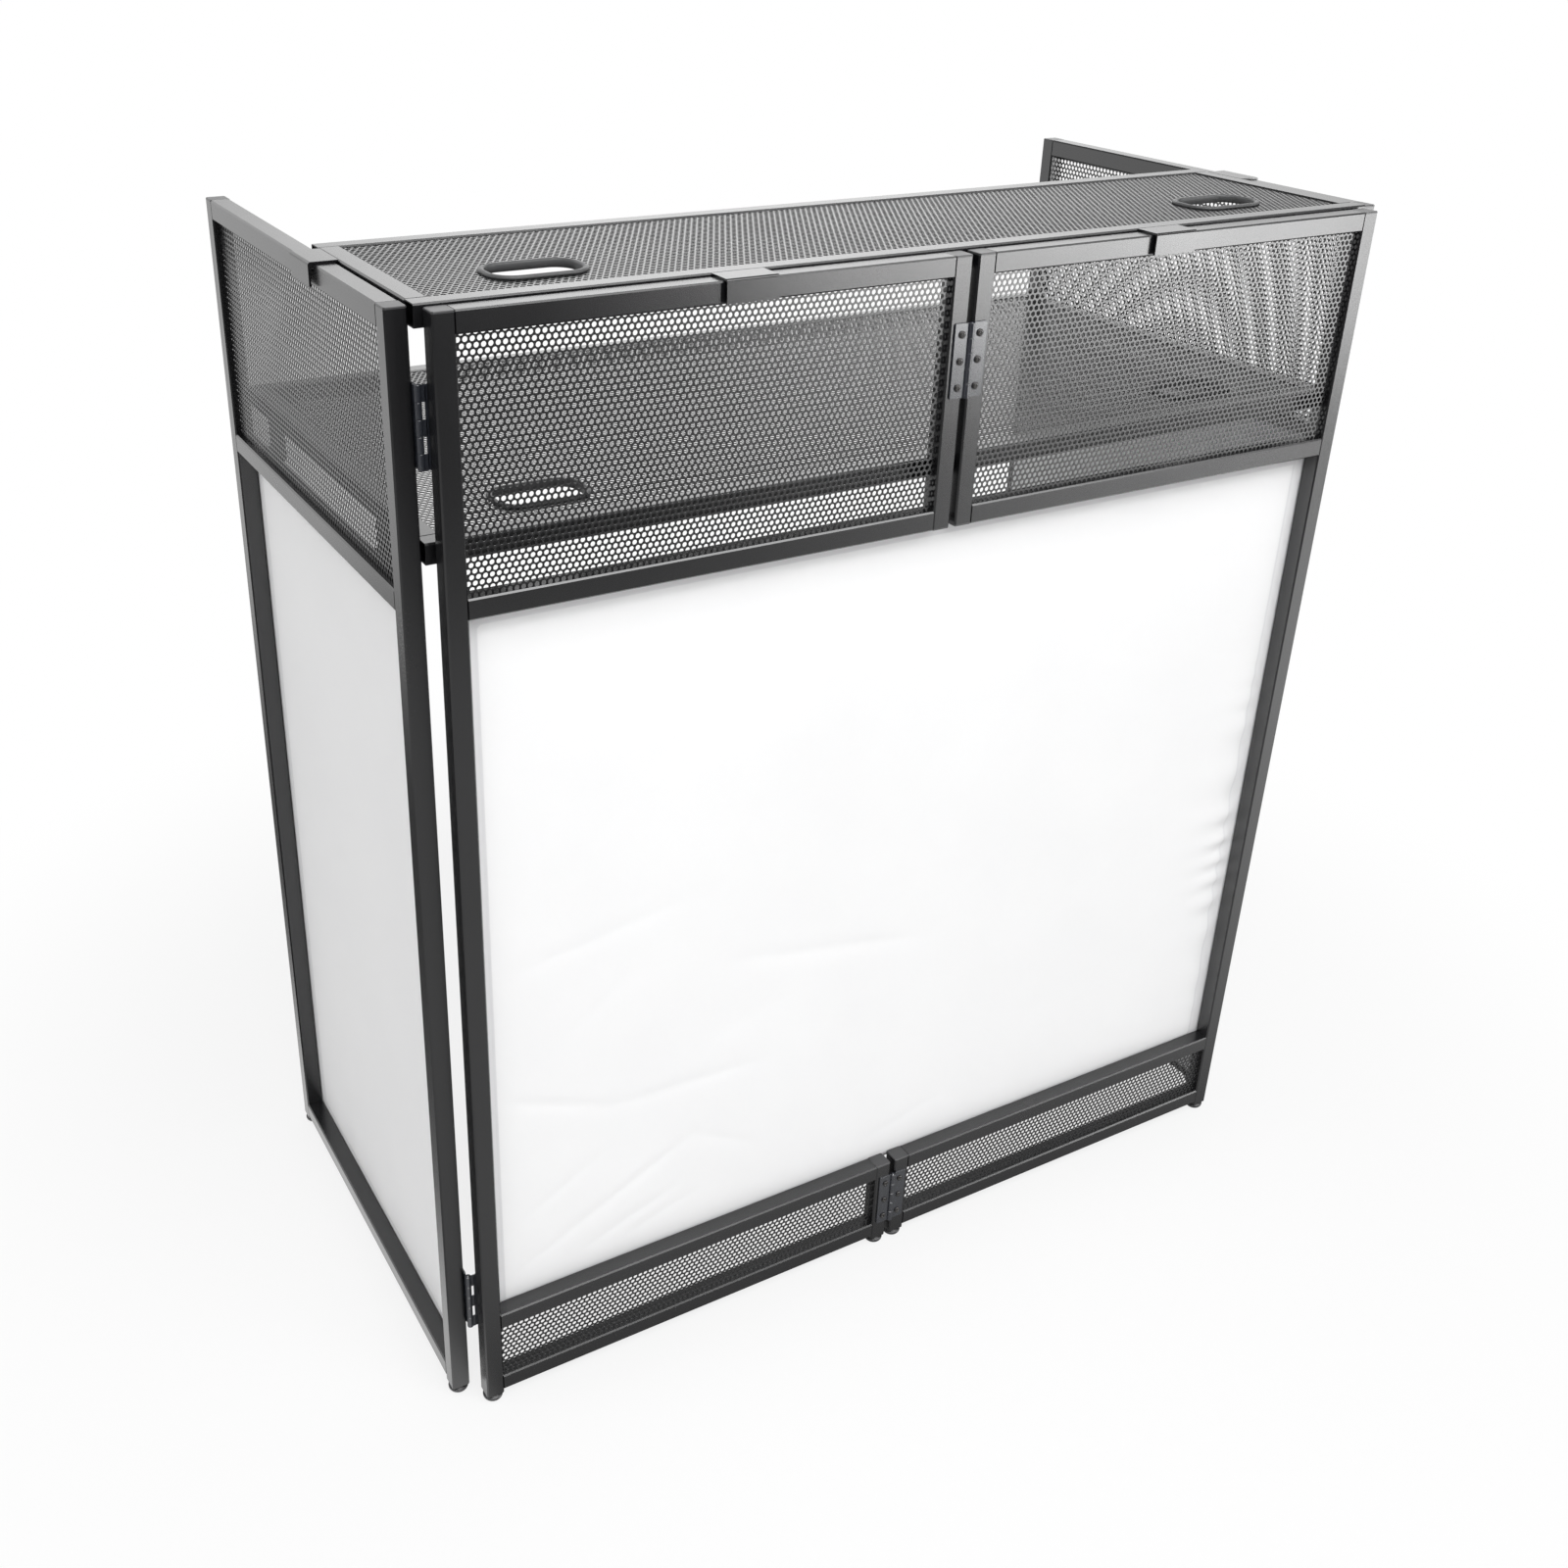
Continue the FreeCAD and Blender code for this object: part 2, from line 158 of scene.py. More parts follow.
powder_coat = speckled(
    "satin_powder_coat",
    dark=(0.004, 0.004, 0.0045),
    light=(0.008, 0.008, 0.009),
    index=1.8,
    gloss=0.20,
    uneven=0.08,
    grain=700.0,
    depth=0.00008,
    cloud=5.0,
)
for panel in ("front_left", "front_right"):
    rails = [panel + "_" + level + "_rail" for level in ("top", "mid", "lower", "bottom")]
    paint(powder_coat, panel + "_outer_post", panel + "_inner_posts", *rails)
for panel in ("left_wing", "right_wing"):
    rails = [panel + "_" + level + "_rail" for level in ("top", "mid", "bottom")]
    paint(powder_coat, panel + "_front_post", panel + "_rear_post", *rails)
paint(powder_coat, "top_shelf_frame", "top_shelf_hooks", "lower_shelf_frame", "lower_shelf_brackets")


# Perforated sheets: thin steel with round holes in staggered rows, cut to size through the holes and
# welded into the tube. The front has them above and below the scrim, the wings have them above it, and
# the shelves have them as decks.

HOLE_RADIUS = 0.00238
HOLE_PITCH = 0.00635
SHEET_THICKNESS = 0.0009
SLOT_LENGTH = 0.084
SLOT_WIDTH = 0.049
SLOT_RADIUS = 0.019
SLEEVE_WALL = 0.0015
ROUND_SIDES = 12
PLAIN_SIDES = 6
SPARE_ROWS = 4
SLIVER_AREA = 1e-10


def push_out(flat, centre, grow):
    """Moves points that lie within a grown slot outline straight out to it, and says which did.
    The distance to the outline is the one to a rectangle of centres, less the corner radius."""
    half = np.array([SLOT_LENGTH, SLOT_WIDTH]) / 2 - SLOT_RADIUS
    away = flat - centre
    beyond = np.abs(away) - half
    corner = np.maximum(beyond, 0.0)
    reach = np.linalg.norm(corner, axis=-1)
    distance = reach + np.minimum(beyond.max(axis=-1), 0.0) - SLOT_RADIUS - grow
    flatter = np.eye(2)[beyond.argmax(axis=-1)]
    round_the_corner = corner / np.maximum(reach, 1e-9)[..., None]
    way = np.where((reach > 0)[..., None], round_the_corner, flatter) * np.sign(away)
    inside = distance < 0
    return np.where(inside[..., None], flat - way * distance[..., None], flat), inside


def perforated(low, high, sides, slots=()):
    """Flat sheet with staggered holes, each a ring of points about a centre of a triangular lattice.
    A quad bridges two neighbours and a polygon fills the gap among three. Points that fall past the
    sheet's edge are brought back to it, so the edge cuts through holes as shears do. The lattice lies on
    whole pitches from the frame's middle, so the holes run on from one strip of a deck to the next."""
    low = np.array(low)
    high = np.array(high)
    rise = HOLE_PITCH * 0.75 ** 0.5
    columns, rows = np.ceil((high - low) / (HOLE_PITCH, rise)).astype(int) + SPARE_ROWS
    row, column = np.mgrid[0:rows, 0:columns]
    across = (column - (columns - 1) / 2 + row % 2 / 2) * HOLE_PITCH
    along = (row - (rows - 1) / 2) * rise
    middle = (low + high) / 2
    middle[0] = np.round(middle[0] / HOLE_PITCH) * HOLE_PITCH
    centre = np.stack([across, along], axis=-1) + middle
    angle = (np.arange(sides) + 0.5) * 2 * np.pi / sides
    same_area = (2 * np.pi / sides / np.sin(2 * np.pi / sides)) ** 0.5
    rim = HOLE_RADIUS * same_area * np.stack([np.cos(angle), np.sin(angle)], axis=-1)
    flat = np.clip(centre[:, :, None] + rim, low, high).reshape(-1, 2)
    sunk = np.zeros(len(flat), bool)
    for slot_centre in slots:
        flat, inside = push_out(flat, np.array(slot_centre), SLEEVE_WALL)
        sunk |= inside

    point = np.arange(rows * columns * sides).reshape(rows, columns, sides)
    row = row[1:-1, 1:-1]
    column = column[1:-1, 1:-1]
    here = point[row, column]
    right = point[row, column + 1]
    up_right = point[row + 1, column + row % 2]
    up_left = point[row + 1, column + row % 2 - 1]

    def after(ring, sixth):
        return ring[..., sixth * sides // 6 % sides]

    def before(ring, sixth):
        return ring[..., (sixth * sides // 6 - 1) % sides]

    webs = []
    for sixth, other in ((0, right), (1, up_right), (2, up_left)):
        facing = sixth + 3
        across_web = [after(other, facing), before(other, facing)]
        webs.append([before(here, sixth), *across_web, after(here, sixth)])
    gaps = []
    for sixth, first, second in ((0, right, up_right), (1, up_right, up_left)):
        loop = [after(here, sixth), before(first, sixth + 3), after(first, sixth + 2)]
        gaps.append(loop + [before(second, sixth + 5), after(second, sixth + 4), before(here, sixth + 1)])
    if sides == PLAIN_SIDES:
        gaps = [gap[::2] for gap in gaps]
    faces = []
    for loop in webs + gaps:
        loop = np.stack(loop, axis=-1).reshape(-1, len(loop))
        x, y = np.moveaxis(flat[loop], -1, 0)
        area = (x * np.roll(y, -1, axis=1) - y * np.roll(x, -1, axis=1)).sum(axis=1) / 2
        faces += loop[(area > SLIVER_AREA) & ~sunk[loop].all(axis=1)].tolist()
    used = np.unique(np.concatenate([np.array(face) for face in faces]))
    renumber = np.zeros(len(flat), int)
    renumber[used] = np.arange(len(used))
    return flat[used], [renumber[face].tolist() for face in faces]


def new_piece(name, points, faces, material, slot, body=None, smooth=False):
    """A mesh object from its points and faces, in its finish, and on a body unless it bends across two."""
    mesh = bpy.data.meshes.new(name)
    mesh.from_pydata(np.asarray(points).tolist(), [], faces)
    mesh.materials.append(material)
    mesh.polygons.foreach_set("use_smooth", np.full(len(mesh.polygons), smooth))
    piece = bpy.data.objects.new(name, mesh)
    bpy.context.scene.collection.objects.link(piece)
    if body:
        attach(piece, body)
    return piece


def add_sheet(name, nodes, body, axes, low, high, level, sides, slots=()):
    """Perforated sheet in the plane of the two axes, at a level along the third."""
    flat, faces = perforated(low, high, sides, slots)
    points = np.full((len(flat), 3), level)
    points[:, axes] = flat
    if axes == [0, 2]:
        faces = [face[::-1] for face in faces]
    sheet = new_piece(name, points, faces, sheet_coat, "perforated_sheet", body)
    wall = sheet.modifiers.new("thickness", "SOLIDIFY")
    wall.thickness = SHEET_THICKNESS
    wall.offset = 0.0
    if nodes:
        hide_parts(*nodes)
    return sheet


sheet_coat = speckled(
    "perforated_powder_coat",
    dark=(0.005, 0.005, 0.0055),
    light=(0.010, 0.010, 0.011),
    index=1.8,
    gloss=0.22,
    uneven=0.08,
    grain=900.0,
    depth=0.00008,
    cloud=7.0,
)
for panel in ("front_left", "front_right"):
    for level in ("upper", "lower"):
        node = panel + "_" + level + "_mesh"
        name = panel + "_" + level + "_sheet"
        low, high = np.array(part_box(node))
        middle = (low + high)[1] / 2
        axes = [0, 2]
        add_sheet(name, [node], panel, axes, low[axes], high[axes], middle, ROUND_SIDES)
for wing in ("left_wing", "right_wing"):
    low, high = np.array(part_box(wing + "_mesh"))
    middle = (low + high)[0] / 2
    nodes = [wing + "_mesh"]
    axes = [1, 2]
    add_sheet(wing + "_sheet", nodes, wing, axes, low[axes], high[axes], middle, ROUND_SIDES)
for shelf, strips, sides in (("top_shelf", 2, ROUND_SIDES), ("lower_shelf", 3, PLAIN_SIDES)):
    low, high = np.array(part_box(shelf + "_deck"))
    holes_low, holes_high = np.array(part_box(shelf + "_grommets"))
    slot_y = (holes_low + holes_high)[1] / 2
    slot_x = holes_high[0] - (holes_high - holes_low)[1] / 2 - (SLOT_LENGTH - SLOT_WIDTH) / 2
    slots = [(-slot_x, slot_y), (slot_x, slot_y)]
    edges = np.linspace(low[0], high[0], strips + 1)
    for index in range(strips):
        name = shelf + "_deck_" + "abc"[index]
        nodes = [shelf + "_deck"] if index == 0 else []
        bottom = (edges[index], low[1])
        top = (edges[index + 1], high[1])
        level = (low + high)[2] / 2
        add_sheet(name, nodes, shelf, [0, 1], bottom, top, level, sides, slots)


# Cable grommets: grey-black rubber rings in the rounded slots of both decks, with a fat bead on top and
# a short sleeve down through the sheet.

GROMMET_BEAD = 0.006
GROMMET_CROWN = 0.0018
GROMMET_SHOULDER = 0.0012
GROMMET_SLEEVE = 0.005
BEAD_STEPS = 11
CORNER_STEPS = 14


def rounded_path(half, radius, steps):
    """Outline of a rectangle with rounded corners, a quarter circle about each corner's centre. It
    gives the outline's points and their outward directions."""
    angle = (np.arange(4)[:, None] + np.linspace(0, 1, steps)) * np.pi / 2
    out = np.stack([np.cos(angle), np.sin(angle)], axis=-1)
    corner = np.array([[1, 1], [-1, 1], [-1, -1], [1, -1]]) * (np.array(half) - radius)
    return (corner[:, None] + radius * out).reshape(-1, 2), out.reshape(-1, 2)


def swept(path, out, profile, closed):
    """Each (outward, height) of the profile is carried along the outline. A closed profile gives a
    ring, and an open one, from its base up, gives a plate with two flat caps."""
    grow, height = np.array(profile).T
    flat = path[:, None] + grow[:, None] * out[:, None]
    level = np.broadcast_to(height[:, None], (*flat.shape[:2], 1))
    points = np.concatenate([flat, level], axis=-1).reshape(-1, 3)
    count = len(profile)
    along = np.arange(len(path))[:, None]
    up = np.arange(count if closed else count - 1)
    ahead = (along + 1) % len(path)
    above = (up + 1) % count
    corners = [along * count + up, ahead * count + up, ahead * count + above, along * count + above]
    faces = np.stack(corners, axis=-1).reshape(-1, 4)
    if closed:
        return points, faces[:, ::-1].tolist()
    ring = along[:, 0] * count
    return points, [*faces.tolist(), ring[::-1].tolist(), (ring + count - 1).tolist()]


def gather(shapes):
    """Puts several (points, faces) shapes together as one."""
    points = []
    faces = []
    count = 0
    for shape_points, shape_faces in shapes:
        points.append(shape_points)
        faces += [[count + index for index in face] for face in shape_faces]
        count += len(shape_points)
    return np.concatenate(points), faces


rubber = speckled(
    "grey_black_rubber",
    dark=(0.060, 0.061, 0.062),
    light=(0.085, 0.086, 0.087),
    index=1.5,
    gloss=0.34,
    uneven=0.14,
    grain=1500.0,
    depth=0.00008,
    cloud=30.0,
)
sweep = np.linspace(0, np.pi, BEAD_STEPS)
bead = np.stack([1 - np.cos(sweep), GROMMET_SHOULDER + GROMMET_CROWN * np.sin(sweep)], axis=-1)
bead[:, 0] *= GROMMET_BEAD / 2
ring_profile = [(0, -GROMMET_SLEEVE), *bead, (GROMMET_BEAD, 0)]
ring_profile += [(SLEEVE_WALL, 0), (SLEEVE_WALL, -GROMMET_SLEEVE)]
slot_half = (SLOT_LENGTH / 2, SLOT_WIDTH / 2)
slot_path, slot_out = rounded_path(slot_half, SLOT_RADIUS, CORNER_STEPS)
for shelf in ("top_shelf", "lower_shelf"):
    low, high = np.array(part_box(shelf + "_grommets"))
    ring_points, ring_faces = swept(slot_path, slot_out, ring_profile, True)
    deck_top = low[2] + GROMMET_SLEEVE
    slot_x = high[0] - GROMMET_BEAD - SLOT_LENGTH / 2
    slot_y = (low + high)[1] / 2
    pair = [(ring_points + (x, slot_y, deck_top), ring_faces) for x in (-slot_x, slot_x)]
    rings = new_piece(shelf + "_rings", *gather(pair), rubber, "black_plastic", shelf, smooth=True)
    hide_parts(shelf + "_grommets")


# End caps and feet: moulded black plastic plugs. The caps lie flush on the open tube ends, and the
# feet are round glides with a domed tread on a neck that pushes into the post from below.

FOOT_RADIUS = 0.011
FOOT_TREAD = 0.0055
FOOT_HEIGHT = 0.010
FOOT_DOME = 0.0050
FOOT_BRIM = 0.0064
FOOT_NECK = 0.0058
FOOT_EASE = 0.0006
FOOT_AROUND = 32
DOME_STEPS = 9

plastic = speckled(
    "moulded_black_plastic",
    dark=(0.030, 0.030, 0.031),
    light=(0.048, 0.048, 0.050),
    index=1.6,
    gloss=0.28,
    uneven=0.12,
    grain=1500.0,
    depth=0.00008,
    cloud=30.0,
)
for panel in ("front_left", "front_right", "left_wing", "right_wing"):
    paint(plastic, panel + "_caps")


def turned(radius, height, around):
    """Closed solid of revolution about Z: each radius, at its height, is carried round the axis. The
    height may also change with the angle. The first and the last row meet on the axis."""
    angle = np.arange(around) * 2 * np.pi / around
    radius = np.broadcast_to(np.asarray(radius, float).reshape(len(radius), -1), (len(radius), around))
    height = np.broadcast_to(np.asarray(height, float).reshape(len(height), -1), radius.shape)
    grid = np.stack([radius * np.cos(angle), radius * np.sin(angle), height], axis=-1)
    rows = len(radius) - 2
    ends = grid[[0, -1], 0]
    points = np.concatenate([grid[1:-1].reshape(-1, 3), ends])
    step = np.arange(around)
    turn = (step + 1) % around
    base = np.arange(rows - 1)[:, None] * around
    sides = np.stack([base + step, base + turn, base + around + turn, base + around + step], axis=-1)
    last = (rows - 1) * around
    bottom = np.stack([np.full(around, rows * around), turn, step], axis=-1)
    top = np.stack([np.full(around, rows * around + 1), last + step, last + turn], axis=-1)
    return points, sides.reshape(-1, 4).tolist() + bottom.tolist() + top.tolist()


quarter = np.linspace(0, np.pi / 2, DOME_STEPS)
tread = FOOT_TREAD + (FOOT_RADIUS - FOOT_TREAD) * np.sin(quarter)
rise = FOOT_DOME * (1 - np.cos(quarter))
foot_radius = [0, *tread, FOOT_RADIUS, FOOT_RADIUS - FOOT_EASE, FOOT_NECK, FOOT_NECK, 0]
foot_height = [0, *rise, FOOT_BRIM - FOOT_EASE, FOOT_BRIM, FOOT_BRIM, FOOT_HEIGHT, FOOT_HEIGHT]
feet_under = {
    "front_left": ("front_left_outer_post", "front_left_inner_posts"),
    "front_right": ("front_right_outer_post", "front_right_inner_posts"),
    "left_wing": ("left_wing_front_post", "left_wing_rear_post"),
    "right_wing": ("right_wing_front_post", "right_wing_rear_post"),
}
glide_points, glide_faces = turned(foot_radius, foot_height, FOOT_AROUND)
for panel, posts in feet_under.items():
    places = [np.mean(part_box(post), axis=0) * (1, 1, 0) for post in posts]
    pair = [(glide_points + place, glide_faces) for place in places]
    feet = new_piece(panel + "_glides", *gather(pair), plastic, "black_plastic", panel, smooth=True)
    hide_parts(panel + "_feet")


# Butt hinges: pressed black steel leaves with rolled knuckles on a plain pin, two on the centre line
# and two behind each corner. Three raised pan-head screws hold each leaf to its post.

HINGE_HEIGHT = 0.072
CENTRE_LEAF = {"root": 0.0035, "length": 0.0187, "screw_at": 0.0104}
CORNER_LEAF = {"root": 0.0056, "length": 0.0192, "screw_at": 0.0132}
LEAF_THICKNESS = 0.0018
LEAF_CORNER = 0.0022
LEAF_EASE = 0.00035
LEAF_STEPS = 7
NECK_STEPS = 3
BARREL_RADIUS = 0.0032
KNUCKLE_COUNT = 5
KNUCKLE_GAP = 0.0003
KNUCKLE_AROUND = 24
PIN_RADIUS = 0.0015
PIN_DOME = 0.0005
PIN_TIP = 0.6
PIN_AROUND = 20
SCREW_SPACING = 0.0254
SCREW_RADIUS = 0.0036
SCREW_HEIGHT = 0.0021
SCREW_BLADE = 0.00050
SCREW_REACH = 0.0019
SCREW_RECESS = 0.0011
SCREW_WALL = 0.00015
SCREW_RUN_OUT = 0.0003
SCREW_BRIM = 0.35
SCREW_ARCH = 0.95
SCREW_RINGS = 15
SCREW_AROUND = 40

hinge_black = speckled(
    "hinge_black_lacquer",
    dark=(0.014, 0.016, 0.021),
    light=(0.024, 0.027, 0.035),
    index=2.0,
    gloss=0.18,
    uneven=0.08,
    grain=1200.0,
    depth=0.00005,
    cloud=40.0,
)
screw_black = speckled(
    "blackened_screws",
    dark=(0.018, 0.017, 0.016),
    light=(0.030, 0.028, 0.026),
    index=1.6,
    gloss=0.20,
    uneven=0.08,
    grain=2400.0,
    depth=0.00004,
    cloud=90.0,
)


def set_out(shape, along, face, origin):
    """Carries a shape from its own axes to the hinge: X along the leaf, Y up and Z out of its face. The
    faces are turned over where that mirrors the shape."""
    points, faces = shape
    axes = np.array([(*along, 0), (0, 0, 1), (*face, 0)], float)
    if np.linalg.det(axes) < 0:
        faces = [list(loop)[::-1] for loop in faces]
    return points @ axes + origin, faces


def leaf(root, length, first):
    """Flat leaf with rounded corners and an eased face, and a neck to every second knuckle."""
    half = ((length - root) / 2, HINGE_HEIGHT / 2)
    section = [(0, -LEAF_THICKNESS), (0, -LEAF_EASE), (-LEAF_EASE, 0)]
    points, faces = swept(*rounded_path(half, LEAF_CORNER, LEAF_STEPS), section, False)
    shapes = [(points + ((length + root) / 2, 0, 0), faces)]
    pitch = (HINGE_HEIGHT + KNUCKLE_GAP) / KNUCKLE_COUNT
    neck_half = ((root + 2 * LEAF_EASE) / 2, (pitch - KNUCKLE_GAP) / 2)
    for index in range(first, KNUCKLE_COUNT, 2):
        points, faces = swept(*rounded_path(neck_half, LEAF_EASE, NECK_STEPS), section, False)
        middle = (index - (KNUCKLE_COUNT - 1) / 2) * pitch
        shapes.append((points + (neck_half[0], middle, 0), faces))
    return shapes


def knuckles(first):
    """Every second knuckle of the barrel, a round with eased ends."""
    pitch = (HINGE_HEIGHT + KNUCKLE_GAP) / KNUCKLE_COUNT
    half = (pitch - KNUCKLE_GAP) / 2
    ease = LEAF_EASE
    radius = [0, BARREL_RADIUS - ease, BARREL_RADIUS, BARREL_RADIUS, BARREL_RADIUS - ease, 0]
    height = np.array([-half, -half, ease - half, half - ease, half, half])
    shapes = []
    for index in range(first, KNUCKLE_COUNT, 2):
        middle = (index - (KNUCKLE_COUNT - 1) / 2) * pitch
        shapes.append(turned(radius, height + middle, KNUCKLE_AROUND))
    return shapes


def screw_head():
    """Pan head: an arch of height over radius, lowered by a cross-shaped recess with soft walls."""
    reach = np.linspace(1, 0, SCREW_RINGS)
    radius = np.concatenate([[0, SCREW_RADIUS], SCREW_RADIUS * reach])
    arch = SCREW_HEIGHT * (SCREW_BRIM + (1 - SCREW_BRIM) * np.sqrt(1 - SCREW_ARCH * reach ** 2))
    angle = np.arange(SCREW_AROUND) * 2 * np.pi / SCREW_AROUND
    nearer_arm = np.minimum(np.abs(np.cos(angle)), np.abs(np.sin(angle)))
    across = nearer_arm * SCREW_RADIUS * reach[:, None]
    blade = np.clip((SCREW_BLADE - across) / SCREW_WALL, 0, 1)
    inside = np.clip((SCREW_REACH - SCREW_RADIUS * reach) / SCREW_RUN_OUT, 0, 1)[:, None]
    crown = arch[:, None] - SCREW_RECESS * blade * inside
    height = np.concatenate([np.zeros((2, SCREW_AROUND)), crown])
    return turned(radius, height, SCREW_AROUND)


centre_pins = "centre_hinge_pins"
hinge_leaves = [
    ("centre_hinge_left_leaves", centre_pins, (-1, 0), (0, -1), CENTRE_LEAF, 0, "front_left"),
    ("centre_hinge_right_leaves", centre_pins, (1, 0), (0, -1), CENTRE_LEAF, 1, "front_right"),
]
for side, name in ((-1, "left"), (1, "right")):
    corner = name + "_corner"
    pins = corner + "_pins"
    front_row = (corner + "_front_leaves", pins, (-side, 0), (0, 1), CORNER_LEAF, 0, "front_" + name)
    wing_row = (corner + "_wing_leaves", pins, (0, 1), (-side, 0), CORNER_LEAF, 1, name + "_wing")
    hinge_leaves += [front_row, wing_row]


def hinge_middles(pins):
    """Middle points of the two hinges on one axis, read from the pins' box."""
    low, high = np.array(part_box(pins))
    axis = (low + high) / 2
    lift = np.array([0, 0, (high - low)[2] / 2 - HINGE_HEIGHT / 2])
    return [axis - lift, axis + lift]


for node, pins, along, face, sizes, first, body in hinge_leaves:
    plates = []
    heads = []
    for middle in hinge_middles(pins):
        flat = leaf(sizes["root"], sizes["length"], first)
        plates += [set_out(shape, along, face, middle) for shape in flat]
        plates += [(points + middle, faces) for points, faces in knuckles(first)]
        for step in (-1, 0, 1):
            points, faces = screw_head()
            placed = (points + (sizes["screw_at"], step * SCREW_SPACING, 0), faces)
            heads.append(set_out(placed, along, face, middle))
    plate = new_piece(node + "_pressed", *gather(plates), hinge_black, "black_hardware", body)
    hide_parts(node)
    new_piece(node + "_screws", *gather(heads), screw_black, "black_hardware", body, smooth=True)

pin_half = HINGE_HEIGHT / 2
pin_end = pin_half + PIN_DOME
pin_tip = PIN_RADIUS * PIN_TIP
pin_radius = [0, pin_tip, PIN_RADIUS, PIN_RADIUS, pin_tip, 0]
pin_height = [-pin_end, -pin_end, -pin_half, pin_half, pin_end, pin_end]
pin_bodies = {
    "centre_hinge_pins": "front_left",
    "left_corner_pins": "front_left",
    "right_corner_pins": "front_right",
}
for pins, body in pin_bodies.items():
    points, faces = turned(pin_radius, pin_height, PIN_AROUND)
    pair = [(points + middle, faces) for middle in hinge_middles(pins)]
    rods = new_piece(pins + "_turned", *gather(pair), hinge_black, "black_hardware", body)
    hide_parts(pins)


# Scrims: white stretch knit with a two-layer hem, pulled tight and taped to the rear of the tubes. The
# hem is painted grey: partly its own tone, partly painted shadow of the posts and rails in front of it.
# The front one spans both halves; it came folded and has a few creases left near its lower corner.

SCRIM_CLOTH = 0.0005
HEM_WIDTH = 0.0215
HEM_STEP = 0.0004
HEM_FADE = 0.004
HEM_SOFT = 0.0008
HEM_EDGE_FROM = 0.004
HEM_EDGE_TO = 0.002
SCRIM_LAP = 0.007
SCRIM_RISE = 0.012
FRONT_SIZE = (1.036, 0.824)
FRONT_STEP = 0.005
FRONT_TUCK = 0.016
WING_SIZE = (0.502, 0.914)
WING_STEP = 0.007
WING_TUCK = 0.008
SLACK = {"front": 0.003, "wing": 0.002}
RIPPLE = {"depth": 0.0060, "reach": 0.024, "middle": 0.30, "spread": 0.20, "length": 0.042}
PLEAT = {"depth": 0.0012, "reach": 0.045, "length": 0.09}
WALES = 5200.0
COURSES = 7000.0
FUZZ_SCALE = 900.0
TONE_SCALE = 6.0
NAP_STRENGTH = 0.25
NAP_DEPTH = 0.0002

scrim_knit, shade = new_finish("white_stretch_knit")
cloth_uv = shade.node("UVMap", {"uv_map": "cloth"}, {})
across = shade.node("SeparateXYZ", {}, {0: cloth_uv}, out=0)
upward = shade.node("SeparateXYZ", {}, {0: cloth_uv}, out=1)
wales = shade.node("Math", {"operation": "SINE"}, {0: across * WALES})
courses = shade.node("Math", {"operation": "SINE"}, {0: upward * COURSES})
fuzz = shade.node("TexNoise", {}, {"Vector": cloth_uv, "Scale": FUZZ_SCALE, "Detail": GRAIN_DETAIL})
cloud = shade.node("TexNoise", {}, {"Vector": cloth_uv, "Scale": TONE_SCALE, "Detail": CLOUD_DETAIL})
knit = 0.5 * wales * courses + fuzz
nap = shade.node("Bump", {}, {"Height": knit, "Strength": NAP_STRENGTH, "Distance": NAP_DEPTH})
tone = 0.6 * cloud + 0.2 * fuzz
# The hem band is painted grey, darkest along its inner edge: partly the hem's own tone, partly painted
# shadow of the posts and rails that lap over the cloth's edges.
edge = shade.node("Attribute", {"attribute_name": "edge"}, {}, out=2)
hem_and_shadow = 1 - edge.ramp(HEM_WIDTH - HEM_SOFT, HEM_WIDTH + HEM_SOFT)
hem_inner_edge = edge.ramp(HEM_WIDTH - HEM_EDGE_FROM, HEM_WIDTH - HEM_EDGE_TO) * hem_and_shadow
hem = 0.55 * hem_and_shadow + 0.45 * hem_inner_edge
single = tone.blend((0.80, 0.80, 0.805, 1.0), (0.88, 0.88, 0.88, 1.0))
surface = shade.node("BsdfPrincipled", {}, {
    "Base Color": hem.blend(single, (0.73, 0.73, 0.74, 1.0)),
    "Roughness": 0.82 + 0.12 * fuzz,
    "IOR": 1.35,
    "Normal": nap,
})
shade.node("OutputMaterial", {}, {"Surface": surface})


def crease(across, upward, start, end, width, lift):
    """Ridge along a line: a bell of the distance to the line, highest in the middle of its length."""
    start = np.array(start)
    run = np.array(end) - start
    place = np.stack([across, upward], axis=-1) - start
    along = np.clip(place @ run / (run @ run), 0, 1)
    away = np.linalg.norm(place - along[..., None] * run, axis=-1)
    return lift * np.exp(-(away / width) ** 2) * np.sin(np.pi * np.clip(along, 0.02, 0.98)) ** 0.6


